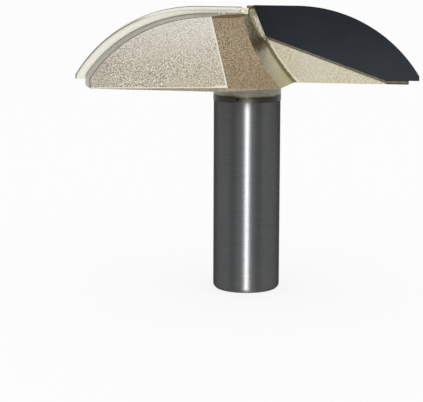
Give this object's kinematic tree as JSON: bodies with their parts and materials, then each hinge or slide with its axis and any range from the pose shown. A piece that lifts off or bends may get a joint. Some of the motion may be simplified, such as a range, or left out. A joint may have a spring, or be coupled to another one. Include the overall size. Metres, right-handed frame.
{
  "type": "router bit",
  "caption": "Two-wing carbide-tipped router bit for a wide convex profile, on a half-inch shank.",
  "frame": {"origin": "middle of the shank's end face, which is the lowest point of the part", "axes": "+Z is the spin axis, from the shank's end face up to the cutting edges. +X points along the first wing to its outer cutting corner, whose rake face looks towards -Y. +Y follows from the right-handed set."},
  "size_m": [0.065, 0.031, 0.054],
  "materials": {
    "plated_steel": "satin",
    "carbide": "satin",
    "silver_braze": "satin"
  },
  "bodies": {
    "root": {"cutter_body": "plated_steel", "carbide_tip_1": "carbide", "carbide_tip_2": "carbide", "braze_seam_1": "silver_braze", "braze_seam_2": "silver_braze"}
  },
  "joints": []
}
